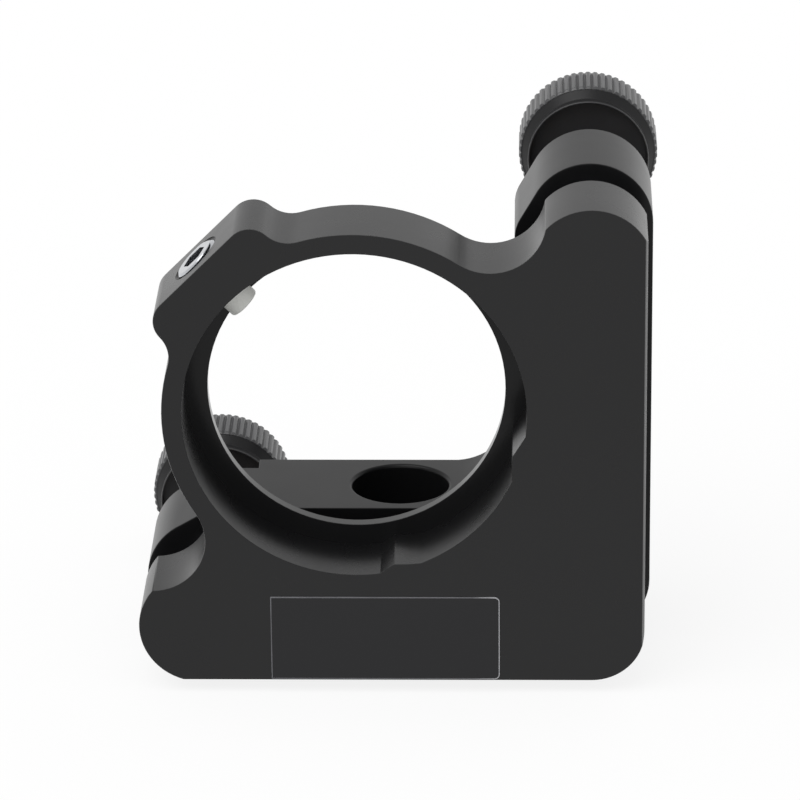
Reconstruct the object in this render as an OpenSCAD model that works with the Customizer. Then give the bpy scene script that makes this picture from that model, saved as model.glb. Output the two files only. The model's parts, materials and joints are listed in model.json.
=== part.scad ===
// Kinematic mirror mount for a 1 inch round optic.
// Two plates stand 3 mm apart.  A ball at the lower right corner is the pivot, and two fine-pitch
// adjusters at the other two corners push the front plate away, against two extension springs.
//
// Frame: X to the right, Y into the mount from its front face, Z up.  The origin is where the axis of
// the post hole meets the underside of the back plate.

/* [Front plate] */
// Width of the front plate
plate_w = 40; // [39:0.5:41]
// Height of the front plate
plate_h = 39.6; // [39:0.2:40.4]
// Thickness of the front plate
plate_t = 7; // [6.5:0.5:9]
// Radius of the lower right corner
plate_corner_r = 4.15; // [2:0.05:4.5]
// Radius of the two rounded fingers over the adjusters
finger_r = 4.8; // [4.6:0.1:5]
// Distance that the front plate's right side lies inside the back plate's
plate_inset_x = 0.6; // [0:0.1:1]
// Height of the front plate's underside over the back plate's
plate_inset_z = 0.35; // [0:0.05:1]
// Outer radius of the ring around the optic
ring_r = 15.02; // [14.8:0.02:15.2]
// Width of the bevel along the front plate's right side, seen from the front
side_bevel_w = 0.2; // [0.05:0.05:0.4]
// Depth of that bevel along the side
side_bevel_d = 0.6; // [0.2:0.1:1]
// Radius of the hollow between the ring and each finger
valley_r = 4.3; // [4:0.1:4.6]
// Direction of the upper hollow, in degrees from +X around the optic axis
valley_angle = 56.7; // [55:0.1:58]

/* [Optic pocket] */
// Optic axis to the left of the post hole
bore_x = -3.15; // [-4:0.05:-2]
// Optic axis over the underside of the back plate
bore_z = 22.95; // [22:0.05:24]
// Radius of the pocket between its contact pads
pocket_r = 13.45; // [13.2:0.05:13.6]
// Radius of the clear aperture through the shoulder
aperture_r = 11.75; // [11:0.05:12]
// Thickness of the shoulder that the optic rests on
shoulder_t = 1; // [0.8:0.1:2]

/* [Screw lug] */
// Distance of the lug's flat from the optic axis
lug_flat = 17.05; // [16.8:0.05:18]
// Half width of the lug's flat
lug_half_w = 4.03; // [3.5:0.01:4.5]
// Radius of the lug's rounded shoulders
lug_round_r = 1.92; // [1.5:0.02:2.2]
// Radius of the hollows at the lug's foot
lug_foot_r = 2.45; // [2:0.05:3]

/* [Back plate] */
// Width of the back plate
back_w = 40.6; // [40.2:0.1:41]
// Height of the back plate
back_h = 40.25; // [40:0.05:41]
// Thickness of the back plate
back_t = 10.2; // [9.8:0.2:12]
// Width of each of its two arms
arm_w = 10.9; // [10.5:0.1:11.4]
// Radius of the boss at the end of each arm
boss_r = 4.95; // [4.8:0.05:5.1]
// Slope of the flank from an arm up to its boss, in degrees from across the arm
flank_angle = 60; // [50:1:70]
// Radius where that flank leaves the arm
flank_r = 3; // [1:0.5:4]
// Radius of the inside corner between the arms
elbow_r = 5; // [3:0.5:6]
// Radius of the lower right corner
back_corner_r = 4.6; // [2:0.1:4.9]
// Depth of the spot faces behind the bosses
spot_depth = 1.8; // [1:0.1:2.5]
// Radius of the spot faces
spot_r = 6; // [5.6:0.1:6.5]
// Gap between the two plates when they stand parallel
gap = 3; // [2.8:0.1:3.4]

/* [Post hole] */
// Distance from the post hole to the back plate's right side
post_to_side = 20.2; // [19.5:0.1:21]
// Radius of the hole for an M4 cap screw
post_hole_r = 2.2; // [2.1:0.05:2.5]
// Radius of the counterbore for the screw's head
post_head_r = 3.9; // [3.7:0.05:4.1]
// Depth of that counterbore
post_head_depth = 4.4; // [4:0.1:5]
// Width of the chamfer at its mouth
post_chamfer = 0.2; // [0.1:0.05:0.4]

/* [Adjusters] */
// Radius of the adjuster screws
screw_r = 2; // [1.9:0.05:2.1]
// Radial clearance of a screw in its bushing
screw_clearance = 0.03; // [0.02:0.01:0.08]
// Outer radius of the bushings
bushing_r = 3.5; // [3.2:0.1:3.8]
// Thickness of the back plate's lip in front of each bushing
bushing_lip = 1.5; // [1:0.1:2]
// Radius of the screw's hole through that lip
lip_hole_r = 2.4; // [2.2:0.05:2.6]
// Radius of the ball at the tip of each adjuster
tip_ball_r = 1.5875; // [1.5:0.0125:1.7]
// Distance from the ball's centre back to the end of the screw
tip_reach = 0.5; // [0.4:0.05:0.8]
// Across flats of the hex socket at the knob end
socket_af = 2; // [1.5:0.1:2.4]
// Depth of that socket
socket_depth = 1.8; // [1:0.1:3]

/* [Knobs] */
// Radius over the knurl
knob_r = 5.65; // [5.4:0.05:6]
// Length of the knurled rim
rim_length = 4.3; // [3:0.1:6]
// Distance from the back plate's rear face to the rim
rim_standoff = 6.6; // [5:0.1:9]
// Length of the nose in front of the rim
nose_length = 1.65; // [1:0.05:2]
// Length of the cone that leads from the rim down to the nose's neck
nose_cone = 0.7; // [0.4:0.05:0.9]
// Radius of the neck behind the nose's lip
neck_r = 4.87; // [4.84:0.01:5]
// Radius of the lip at the front of the nose
lip_r = 4.93; // [4.88:0.01:5.1]
// Radius of the hollow in the knob
cup_r = 4.8; // [4:0.02:4.82]
// Thickness of the knob behind its hollow
web_t = 5.1; // [1:0.1:5.4]
// Number of knurl grooves
knurl_count = 58; // [40:2:90]
// Depth of the knurl grooves
knurl_depth = 0.2; // [0.1:0.02:0.25]

/* [Pivot and seats] */
// Radius of the pivot ball
pivot_ball_r = 2.5; // [2.3:0.05:2.7]
// Clearance between a ball and its seat
ball_clearance = 0.02; // [0.01:0.01:0.04]
// Radius of the pivot's two cone seats
pivot_seat_r = 3.5; // [3.2:0.1:3.8]
// Thickness of the pivot's cone seats
pivot_seat_t = 3.2; // [2.6:0.1:3.6]
// Radius of the two seats under the adjuster balls
tip_seat_r = 2.9; // [2.6:0.1:3.2]
// Thickness of those seats
tip_seat_t = 2.4; // [2:0.1:3]

/* [Springs] */
// Distance of each spring from the pivot
spring_offset = 7.8; // [7.2:0.1:8.4]
// Mean radius of the spring's coils
coil_r = 1.9; // [1.7:0.05:2]
// Wire radius
wire_r = 0.3; // [0.25:0.01:0.3]
// Number of turns
coil_turns = 15; // [10:1:15]
// Length of the straight leg under each hook
hook_leg = 0.9; // [0.8:0.05:1.2]
// Radius of the bores that the springs lie in
spring_bore_r = 2.7; // [2.6:0.05:2.9]
// Depth of the front pins behind the front plate's rear face
front_pin_depth = 3.3; // [3:0.1:3.5]
// Depth of the rear pins under the back plate's rear face
back_pin_depth = 1.4; // [1.35:0.05:2]
// Radius of the dowel pins
pin_r = 0.75; // [0.7:0.05:0.8]
// Reach of a pin past the middle of its spring
pin_reach = 3.8; // [3.4:0.1:4.2]

/* [Optic screw] */
// Radius of the nylon-tipped set screw
optic_screw_r = 2; // [1.9:0.05:2]
// Width of the chamfers at its two ends
optic_screw_chamfer = 0.25; // [0.1:0.05:0.35]
// Radius of its hole
optic_hole_r = 2.05; // [2.02:0.01:2.1]
// Length of the set screw
optic_screw_length = 3.3; // [3:0.1:3.4]
// How far the set screw stands out of the lug's flat
optic_screw_proud = 0.15; // [0:0.05:0.3]
// Distance of the set screw's line below the middle of the lug
optic_screw_aside = 0.3; // [0:0.05:0.4]
// Radius of the nylon tip
optic_tip_r = 1.3; // [1.1:0.05:1.4]
// Distance of the tip's end from the optic axis
optic_tip_end = 11.7; // [11.65:0.05:12.2]

/* [Label] */
// Width of the blank label
label_w = 18.1; // [10:0.1:20]
// Height of the label
label_h = 7.1; // [4:0.1:7.5]
// Thickness of the label
label_t = 0.1; // [0.1:0.05:0.2]
// Height of the label over the front plate's underside
label_rise = 0.15; // [0.1:0.05:1]
// Distance from the label to the front plate's right side
label_to_side = 11.45; // [8:0.05:14]
// Radius of the label's two right corners
label_r = 0.4; // [0.2:0.1:1.5]

/* [Hidden] */
$fn = 96;
eps = 0.01;
// How far a straight stretch runs inside the round that it meets, so that their walls cross.
seam = 0.01;

// The faces of the plates along Y, with the back plate's middle on Y = 0.
back_front_y = -back_t / 2;
back_rear_y = back_t / 2;
plate_rear_y = back_front_y - gap;
plate_front_y = plate_rear_y - plate_t;
shoulder_y = plate_rear_y - shoulder_t;
boss_rear_y = back_rear_y - spot_depth;
bushing_front_y = back_front_y + bushing_lip;

// The sides of the two plates.
back_right = post_to_side;
back_left = back_right - back_w;
plate_right = back_right - plate_inset_x;
plate_left = plate_right - plate_w;
plate_bottom = plate_inset_z;
plate_top = plate_bottom + plate_h;

// The three corners of the kinematic triangle as [x, z], and the plane of the three ball centres.
pivot = [back_right - boss_r, boss_r];
upper = [pivot[0], back_h - boss_r];
lower = [back_left + boss_r, pivot[1]];
ball_y = back_front_y - gap / 2;

// Cone seats with a 90 degree mouth: the apex lies root two radii from the ball's centre.
pivot_apex = (pivot_ball_r + ball_clearance) * sqrt(2);
vee_apex = (tip_ball_r + ball_clearance) * sqrt(2);

// Springs: the lower one lies beside the pivot and the upper one over it.
lower_spring_at = [pivot[0] - spring_offset, pivot[1]];
upper_spring_at = [pivot[0], pivot[1] + spring_offset];
front_pin_y = plate_rear_y - front_pin_depth;
back_pin_y = back_rear_y - back_pin_depth;
hook_end = coil_r - wire_r - pin_r;
spring_bore_floor = front_pin_y - pin_r - 2 * wire_r - 0.25;
wire_sides = 8;
steps_per_turn = 12;

// Knob faces along Y.
rim_front_y = back_rear_y + rim_standoff;
knob_rear_y = rim_front_y + rim_length;
knob_front_y = rim_front_y - nose_length;
knob_chamfer = 0.35;
bushing_chamfer = 0.25;

// The set screw's line, as distances from the optic axis along the lug.
lug_angle = 45;
lug_y = plate_front_y + plate_t / 2;
optic_screw_out = lug_flat + optic_screw_proud;
optic_screw_in = optic_screw_out - optic_screw_length;
optic_tip_depth = 0.7;
optic_tip_round = 0.2;
optic_countersink = 0.22;

// The pads under the optic and to its right, as they lie along and out from the optic axis.
pad_foot = 1.83;
pad_start = [3, 12.55];
pad_middle = [4.25, 12.52];
pad_end = [5.4, 12.4];
side_pad_foot = 1.66;
side_pad_start = [3.36, 12.33];
side_pad_middle = [4.3, 12.25];
side_pad_end = [5.8, 12.3];

// The knurl's root, its land as a share of the pitch, and how far it runs out of the knob's blank.
knurl_root_r = knob_r - knurl_depth;
knurl_land = 0.4;
knurl_over = 0.1;
nose_root_r = knurl_root_r - 0.03;

function unit(v) = v / norm(v);
function polar(r, a) = r * [cos(a), sin(a)];

// The point at distance ra from a and rb from b, to the right of the way from a to b.
function meet(a, ra, b, rb) =
    let (d = norm(b - a), along = (ra * ra - rb * rb + d * d) / (2 * d), dir = (b - a) / d)
    a + along * dir + sqrt(ra * ra - along * along) * [dir[1], -dir[0]];

// ---------------------------------------------------------------- placing

// A flat shape in X and Z, given a thickness from y0 towards +Y.
module slab(y0, thickness)
    translate([0, y0 + thickness, 0]) rotate([90, 0, 0]) linear_extrude(thickness) children();

// A body modelled along Z is laid along Y at the point [x, z], with its foot at y.
module along_y(at, y)
    translate([at[0], y, at[1]]) rotate([-90, 0, 0]) children();

module rod_y(at, y0, y1, r)
    along_y(at, y0) cylinder(h = y1 - y0, r = r);

module cone_y(at, y0, y1, r0, r1)
    along_y(at, y0) cylinder(h = y1 - y0, r1 = r0, r2 = r1);

// A body modelled along Z is laid along the set screw's line, out from the optic.
module along_lug()
    translate([bore_x, lug_y, bore_z]) rotate([0, -lug_angle, 0])
        translate([-optic_screw_aside, 0, 0]) children();

// What rounds off the lower right corner of an outline.
module corner_cut(x, z, r)
    translate([x - r, z]) difference() {
        translate([0, -1]) square([r + 1, r + 1]);
        translate([0, r]) circle(r);
    }

// ---------------------------------------------------------------- front plate

// The hollows between ring and fingers stay tangent to the ring, and mirror each other across the lug.
module lug_outline() {
    shoulder = [lug_half_w, lug_flat - lug_round_r];
    foot = meet([0, 0], ring_r + lug_foot_r, shoulder, lug_round_r + lug_foot_r);
    half = [foot, shoulder, [lug_half_w, lug_flat]];
    difference() {
        polygon(concat([[0, 0]], half, [for (i = [2:-1:0]) [-half[i][0], half[i][1]]]));
        for (side = [-1, 1]) translate([side * foot[0], foot[1]]) circle(lug_foot_r);
    }
    for (side = [-1, 1]) translate([side * shoulder[0], shoulder[1]]) circle(lug_round_r);
}

module plate_outline() {
    right = plate_right - bore_x;
    bottom = plate_bottom - bore_z;
    upper_finger = [upper[0] - bore_x, plate_top - finger_r - bore_z];
    lower_finger = [plate_left + finger_r - bore_x, lower[1] - bore_z];
    upper_valley = polar(ring_r + valley_r, valley_angle);
    lower_valley = -[upper_valley[1], upper_valley[0]];
    translate([bore_x, bore_z]) difference() {
        union() {
            circle(ring_r);
            polygon([[right, bottom], [right, upper_finger[1]], upper_finger, upper_valley, [0, 0],
                lower_valley, lower_finger, [lower_finger[0], bottom]]);
            translate(upper_finger) circle(finger_r);
            translate(lower_finger) circle(finger_r);
            rotate(lug_angle) lug_outline();
        }
        for (at = [upper_valley, lower_valley]) translate(at) circle(valley_r);
        translate([right, bottom]) square([finger_r, plate_h]);
        translate([lower_finger[0] - finger_r, bottom - finger_r]) square([plate_w, finger_r]);
        corner_cut(right, bottom, plate_corner_r);
    }
}

// A contact pad in the pocket: a ramp and a land that runs out in the pocket's wall.  Its points lie
// so far along the wall, and the land's so far out from the optic axis.
module pad(foot, start, middle, end)
    polygon([[foot, -pocket_r + 0.08], [start[0], -start[1]], [middle[0], -middle[1]],
        [end[0], -end[1]], [end[0], -ring_r], [foot - 1, -ring_r]]);

module pocket_outline() {
    translate([bore_x, bore_z]) difference() {
        circle(pocket_r);
        pad(pad_foot, pad_start, pad_middle, pad_end);
        mirror([1, 1]) pad(side_pad_foot, side_pad_start, side_pad_middle, side_pad_end);
    }
}

module front_plate() {
    color("#3a3a3c") difference() {
        slab(plate_front_y, plate_t) plate_outline();
        slab(plate_front_y - 1, plate_t - shoulder_t + 1) pocket_outline();
        translate([plate_right, plate_front_y, 0]) linear_extrude(back_h)
            polygon([[-side_bevel_w, 0], [0, side_bevel_d], [1, side_bevel_d], [1, -1],
                [-side_bevel_w - side_bevel_w / side_bevel_d, -1]]);
        rod_y([bore_x, bore_z], shoulder_y - 1, plate_rear_y + 1, aperture_r);
        along_lug() translate([0, 0, aperture_r + 1]) cylinder(h = lug_flat, r = optic_hole_r);
        along_lug() translate([0, 0, lug_flat - optic_countersink])
            cylinder(h = 1, r1 = optic_hole_r, r2 = optic_hole_r + 1);
        rod_y(pivot, plate_rear_y - pivot_seat_t, plate_rear_y + 1, pivot_seat_r);
        rod_y(upper, plate_rear_y - tip_seat_t, plate_rear_y + 1, tip_seat_r);
        rod_y(lower, plate_rear_y - tip_seat_t, plate_rear_y + 1, tip_seat_r);
        rod_y(upper_spring_at, spring_bore_floor, plate_rear_y + 1, spring_bore_r);
        rod_y(lower_spring_at, spring_bore_floor, plate_rear_y + 1, spring_bore_r);
        translate([upper_spring_at[0] - pin_reach, front_pin_y, upper_spring_at[1]])
            rotate([0, 90, 0]) cylinder(h = plate_w, r = pin_r);
        translate([lower_spring_at[0], front_pin_y, plate_bottom - 1])
            cylinder(h = lower_spring_at[1] + pin_reach - plate_bottom + 1, r = pin_r);
    }
}

module label() {
    right = plate_right - label_to_side;
    bottom = plate_bottom + label_rise;
    color("#2a2a2c") slab(plate_front_y - label_t, label_t) {
        translate([right - label_w, bottom]) square([label_w - label_r, label_h]);
        translate([right - label_w, bottom + label_r]) square([label_w, label_h - 2 * label_r]);
        for (z = [label_r, label_h - label_r]) translate([right - label_r, bottom + z]) circle(label_r);
    }
}

// Flat seat under the upper ball, just below the plate's face.
module upper_seat() {
    seat_face = ball_y - tip_ball_r - ball_clearance;
    color("#c9ccd0") rod_y(upper, plate_rear_y - tip_seat_t, seat_face, tip_seat_r);
}

// Vee seat under the lower ball, with its groove pointing to the pivot.
module lower_seat() {
    color("#c9ccd0") difference() {
        rod_y(lower, plate_rear_y - tip_seat_t, plate_rear_y, tip_seat_r);
        translate([lower[0] - tip_seat_r - 1, ball_y, lower[1]])
            rotate([90, 0, 90]) linear_extrude(2 * tip_seat_r + 2)
                polygon([[-vee_apex, 0], [0, vee_apex], [0, -vee_apex]]);
    }
}

module front_pivot_seat() {
    color("#c9ccd0") difference() {
        rod_y(pivot, plate_rear_y - pivot_seat_t, plate_rear_y, pivot_seat_r);
        cone_y(pivot, ball_y - pivot_apex, ball_y, 0, pivot_apex);
    }
}

module upper_front_pin() {
    end = plate_right - 0.3;
    color("#b4b6ba") translate([upper_spring_at[0] - pin_reach, front_pin_y, upper_spring_at[1]])
        rotate([0, 90, 0]) cylinder(h = end - upper_spring_at[0] + pin_reach, r = pin_r);
}

module lower_front_pin() {
    start = plate_bottom + 0.3;
    color("#b4b6ba") translate([lower_spring_at[0], front_pin_y, start])
        cylinder(h = lower_spring_at[1] + pin_reach - start, r = pin_r);
}

// ---------------------------------------------------------------- optic screw

module optic_tip() {
    length = optic_screw_in + optic_tip_depth - optic_tip_end;
    color("#dddccf") along_lug() translate([0, 0, optic_tip_end]) rotate_extrude() {
        translate([0, optic_tip_round]) square([optic_tip_r, length - optic_tip_round]);
        square([optic_tip_r - optic_tip_round, length]);
        intersection() {
            translate([optic_tip_r - optic_tip_round, optic_tip_round]) circle(optic_tip_round);
            square([optic_tip_r, length]);
        }
    }
}

module optic_screw() {
    color("#c2c4c8") along_lug() difference() {
        translate([0, 0, optic_screw_in]) rotate_extrude() polygon([[0, 0],
            [optic_screw_r - optic_screw_chamfer, 0], [optic_screw_r, optic_screw_chamfer],
            [optic_screw_r, optic_screw_length - optic_screw_chamfer],
            [optic_screw_r - optic_screw_chamfer, optic_screw_length], [0, optic_screw_length]]);
        translate([0, 0, optic_screw_in - 1])
            cylinder(h = optic_tip_depth + 1 + ball_clearance, r = optic_tip_r + ball_clearance);
        translate([0, 0, optic_screw_out - socket_depth])
            cylinder(h = socket_depth + 1, r = socket_af / sqrt(3), $fn = 6);
    }
}

// ---------------------------------------------------------------- back plate

// One arm with its boss, drawn upwards from the outer corner of the elbow at [0, 0].
module arm_outline(length) {
    boss = [-boss_r, length - boss_r];
    tangent = boss + polar(boss_r, 90 + flank_angle);
    bend = [-arm_w, tangent[1] - (tangent[0] + arm_w) * tan(flank_angle)];
    round_at = [flank_r - arm_w, bend[1] - flank_r * tan((90 - flank_angle) / 2)];
    bend_round = [for (i = [0:6]) round_at + polar(flank_r, 180 - (90 - flank_angle) * (1 - i / 6))];
    polygon(concat([[0, 0], [0, boss[1]], boss, boss + polar(boss_r - seam, 90 + flank_angle)],
        bend_round, [[-arm_w, 0]]));
    translate(boss) circle(boss_r);
}

module back_outline() {
    translate([back_right, 0]) difference() {
        union() {
            arm_outline(back_h);
            mirror([1, 1]) arm_outline(back_w);
            translate([-arm_w - elbow_r, arm_w - eps]) difference() {
                square([elbow_r + eps, elbow_r + eps]);
                translate([0, elbow_r + eps]) circle(elbow_r + seam);
            }
        }
        corner_cut(0, 0, back_corner_r);
    }
}

// A groove in the rear face that holds a pin across a spring's bore.
module pin_groove(at, turn) {
    translate([at[0], back_pin_y, at[1]]) rotate([0, turn, 0]) {
        rotate([0, 90, 0]) cylinder(h = 2 * pin_reach, r = pin_r, center = true);
        translate([-pin_reach, 0, -pin_r]) cube([2 * pin_reach, back_pin_depth + 1, 2 * pin_r]);
    }
}

module post_hole() {
    floor_z = arm_w - post_head_depth;
    translate([0, 0, -1]) cylinder(h = arm_w, r = post_hole_r);
    translate([0, 0, floor_z]) cylinder(h = post_head_depth + 1, r = post_head_r);
    translate([0, 0, arm_w - post_chamfer])
        cylinder(h = 1, r1 = post_head_r, r2 = post_head_r + 1);
}

module back_plate() {
    color("#343436") difference() {
        slab(back_front_y, back_t) back_outline();
        for (at = [upper, lower]) {
            rod_y(at, boss_rear_y, back_rear_y + 1, spot_r);
            rod_y(at, bushing_front_y, back_rear_y, bushing_r);
            rod_y(at, back_front_y - 1, back_rear_y, lip_hole_r);
        }
        rod_y(pivot, back_front_y - 1, back_front_y + pivot_seat_t, pivot_seat_r);
        rod_y(upper_spring_at, back_front_y - 1, back_rear_y + 1, spring_bore_r);
        rod_y(lower_spring_at, back_front_y - 1, back_rear_y + 1, spring_bore_r);
        pin_groove(upper_spring_at, 0);
        pin_groove(lower_spring_at, 90);
        post_hole();
    }
}

module back_pivot_seat() {
    color("#c9ccd0") difference() {
        rod_y(pivot, back_front_y, back_front_y + pivot_seat_t, pivot_seat_r);
        cone_y(pivot, ball_y, ball_y + pivot_apex, pivot_apex, 0);
    }
}

module pivot_ball() {
    color("#d5d8dc") translate([pivot[0], ball_y, pivot[1]]) sphere(pivot_ball_r);
}

module back_pin(at, turn)
    color("#b4b6ba") translate([at[0], back_pin_y, at[1]]) rotate([0, turn, 0])
        rotate([0, 90, 0]) cylinder(h = 2 * pin_reach, r = pin_r, center = true);

module upper_back_pin() back_pin(upper_spring_at, 0);
module lower_back_pin() back_pin(lower_spring_at, 90);

// ---------------------------------------------------------------- springs

// The wire's centre line, along Z: a hook, the coil, and a hook at the other end.
function hook(z, way) = concat(
    [for (i = [1:2]) [coil_r, 0, z + way * hook_leg * i / 2]],
    [for (a = [15:15:225]) [coil_r * cos(a), 0, z + way * (hook_leg + coil_r * sin(a))]]);

function backwards(list) = [for (i = [len(list) - 1:-1:0]) list[i]];

function wire_path(length) = concat(
    backwards(hook(0, -1)),
    [for (i = [0:coil_turns * steps_per_turn])
        [coil_r * cos(i * 360 / steps_per_turn), coil_r * sin(i * 360 / steps_per_turn),
            length * i / (coil_turns * steps_per_turn)]],
    hook(length, 1));

// A round tube along a path; each ring's first side follows from the ring before it.
module tube(path, r, sides) {
    count = len(path);
    way = [for (i = [0:count - 1]) unit(path[min(i + 1, count - 1)] - path[max(i - 1, 0)])];
    across = [for (i = 0, a = unit(cross(way[0], [0, 1, 0.2])); i < count;
        i = i + 1, a = i < count ? unit(a - (a * way[i]) * way[i]) : a) a];
    rings = [for (i = [0:count - 1], s = [0:sides - 1])
        path[i] + r * (cos(s * 360 / sides) * across[i]
            + sin(s * 360 / sides) * cross(way[i], across[i]))];
    walls = [for (i = [0:count - 2], s = [0:sides - 1])
        [i * sides + s, (i + 1) * sides + s,
            (i + 1) * sides + (s + 1) % sides, i * sides + (s + 1) % sides]];
    ends = [[for (s = [0:sides - 1]) s], [for (s = [sides - 1:-1:0]) (count - 1) * sides + s]];
    polyhedron(points = rings, faces = concat(walls, ends));
}

module spring(at, turn) {
    coil_start = front_pin_y + hook_end + hook_leg;
    coil_end = back_pin_y - hook_end - hook_leg;
    color("#9fa1a5") along_y(at, coil_start) rotate(turn)
        tube(wire_path(coil_end - coil_start), wire_r, wire_sides);
}

module upper_spring() spring(upper_spring_at, 90);
module lower_spring() spring(lower_spring_at, 0);

// ---------------------------------------------------------------- adjusters

module bushing(at) {
    bore_r = screw_r + screw_clearance;
    color("#b9974f") difference() {
        rod_y(at, bushing_front_y, boss_rear_y, bushing_r);
        rod_y(at, bushing_front_y - 1, boss_rear_y + 1, bore_r);
        cone_y(at, boss_rear_y - bushing_chamfer, boss_rear_y + eps, bore_r,
            bore_r + bushing_chamfer + eps);
        cone_y(at, bushing_front_y - eps, bushing_front_y + bushing_chamfer,
            bore_r + bushing_chamfer + eps, bore_r);
    }
}

module tip_ball(at)
    color("#d5d8dc") translate([at[0], ball_y, at[1]]) sphere(tip_ball_r);

module adjuster_screw(at) {
    start = ball_y + tip_reach;
    color("#a9abb0") difference() {
        rod_y(at, start, knob_rear_y, screw_r);
        translate([at[0], ball_y, at[1]]) sphere(tip_ball_r + ball_clearance);
        along_y(at, knob_rear_y - socket_depth)
            cylinder(h = socket_depth + 1, r = socket_af / sqrt(3), $fn = 6);
    }
}

module knurl_outline() {
    pitch = 360 / knurl_count;
    polygon([for (i = [0:knurl_count - 1], flank = [0:2])
        polar(flank == 0 ? knurl_root_r : knob_r,
            (i + [0, (1 - knurl_land) / 2, (1 + knurl_land) / 2][flank]) * pitch)]);
}

// The knurled rim, with its teeth chamfered at both ends, from its front face at Y = 0.
module knob_rim() {
    wide = knob_r + knurl_over;
    intersection() {
        slab(0, rim_length) knurl_outline();
        rotate([-90, 0, 0]) rotate_extrude() polygon([[0, 0], [knurl_root_r + 0.04, 0],
            [wide, knurl_depth + knurl_over], [wide, rim_length - knob_chamfer - knurl_over],
            [knob_r - knob_chamfer, rim_length], [0, rim_length]]);
    }
}

module knob(at)
    color("#4a4a4c") difference() {
        translate([at[0], rim_front_y, at[1]]) {
            knob_rim();
            rotate([-90, 0, 0]) rotate_extrude() polygon([[0, eps], [nose_root_r, eps],
                [neck_r, -nose_cone], [lip_r, -nose_length], [0, -nose_length]]);
        }
        rod_y(at, knob_front_y - 1, knob_rear_y - web_t, cup_r);
        rod_y(at, knob_front_y, knob_rear_y + 1, screw_r);
    }

module upper_bushing() bushing(upper);
module lower_bushing() bushing(lower);
module upper_ball() tip_ball(upper);
module lower_ball() tip_ball(lower);
module upper_screw() adjuster_screw(upper);
module lower_screw() adjuster_screw(lower);
module upper_knob() knob(upper);
module lower_knob() knob(lower);

front_plate();
label();
upper_seat();
lower_seat();
front_pivot_seat();
upper_front_pin();
lower_front_pin();
optic_tip();
optic_screw();
pivot_ball();
back_plate();
back_pivot_seat();
upper_bushing();
lower_bushing();
upper_back_pin();
lower_back_pin();
upper_spring();
lower_spring();
upper_ball();
upper_screw();
upper_knob();
lower_ball();
lower_screw();
lower_knob();
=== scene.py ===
"""The visible pieces, finishes, lights and camera of a kinematic mirror mount, on its CAD frame."""

import json
import math

import bmesh
import bpy
from bpy.props import FloatProperty, FloatVectorProperty, PointerProperty
from mathutils import Matrix, Quaternion, Vector

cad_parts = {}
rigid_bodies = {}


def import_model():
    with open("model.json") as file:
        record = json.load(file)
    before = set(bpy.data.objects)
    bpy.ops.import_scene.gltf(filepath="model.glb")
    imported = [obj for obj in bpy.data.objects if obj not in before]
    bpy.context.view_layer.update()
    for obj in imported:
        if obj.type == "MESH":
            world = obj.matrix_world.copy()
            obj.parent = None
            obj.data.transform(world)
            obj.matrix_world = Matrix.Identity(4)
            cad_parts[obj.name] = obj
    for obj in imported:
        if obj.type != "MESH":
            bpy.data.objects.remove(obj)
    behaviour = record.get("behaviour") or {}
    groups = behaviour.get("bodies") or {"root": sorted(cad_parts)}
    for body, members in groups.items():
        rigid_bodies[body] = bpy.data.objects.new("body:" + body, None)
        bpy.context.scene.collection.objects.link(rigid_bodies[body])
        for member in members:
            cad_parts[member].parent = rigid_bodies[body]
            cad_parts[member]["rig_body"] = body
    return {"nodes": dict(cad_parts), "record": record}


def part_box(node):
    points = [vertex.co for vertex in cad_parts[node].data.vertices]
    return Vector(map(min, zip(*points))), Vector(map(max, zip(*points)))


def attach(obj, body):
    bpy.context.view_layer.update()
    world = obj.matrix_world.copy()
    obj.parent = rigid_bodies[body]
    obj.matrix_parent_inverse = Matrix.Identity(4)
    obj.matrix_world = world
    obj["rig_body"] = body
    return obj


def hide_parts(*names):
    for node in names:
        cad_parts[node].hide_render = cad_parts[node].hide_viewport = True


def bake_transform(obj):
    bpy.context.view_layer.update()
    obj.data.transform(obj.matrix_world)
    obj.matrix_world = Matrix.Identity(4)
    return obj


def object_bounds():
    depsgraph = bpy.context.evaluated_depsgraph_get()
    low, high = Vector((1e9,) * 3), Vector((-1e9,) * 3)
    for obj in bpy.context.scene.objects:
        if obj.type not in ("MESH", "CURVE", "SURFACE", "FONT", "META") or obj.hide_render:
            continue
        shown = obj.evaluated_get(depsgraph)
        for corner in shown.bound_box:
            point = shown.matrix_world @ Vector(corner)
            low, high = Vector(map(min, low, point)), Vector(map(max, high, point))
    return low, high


bl_info = {
    "name": "Kinematic mirror mount",
    "version": (1, 0, 0),
    "blender": (4, 5, 0),
    "location": "3D View > Sidebar > Mirror mount",
    "description": "Builds the machined pieces, threads, springs and finishes of a mirror mount",
    "category": "Add Mesh",
}

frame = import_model()
CAD_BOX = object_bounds()

MM = 0.001
# How near two places are to count as one.
HAIR = 0.01 * MM
# Each spring, the body that holds its rear hook, and the body that holds its front hook.
SPRING_ENDS = (("upper_spring", "swivel", "front"), ("lower_spring", "base", "swivel"))
# An edge that turns by more than this is broken.
CORNER_ANGLE = math.radians(30.0)
# Straight pieces in one turn of a thread.
THREAD_STEPS = 32


def linear(hex_colour):
    """The linear RGBA that Blender stores for an sRGB hex colour."""
    channels = [int(hex_colour[i : i + 2], 16) / 255 for i in (1, 3, 5)]
    return [c / 12.92 if c <= 0.04045 else ((c + 0.055) / 1.055) ** 2.4 for c in channels] + [1.0]


def optic_line():
    """The set screw's inner end, the way out along the lug, and its length."""
    low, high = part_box("optic_screw")
    lug = Vector((-1, 0, 1)).normalized()
    # The box of a round bar laid at 45 degrees: (length + diameter) / root 2 on each side.
    diameter = high.y - low.y
    length = (high.x - low.x) * math.sqrt(2) - diameter
    return (low + high) / 2 - lug * length / 2, lug, length


def centre(node):
    """The middle of a CAD node's box."""
    low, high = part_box(node)
    return (low + high) / 2


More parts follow.
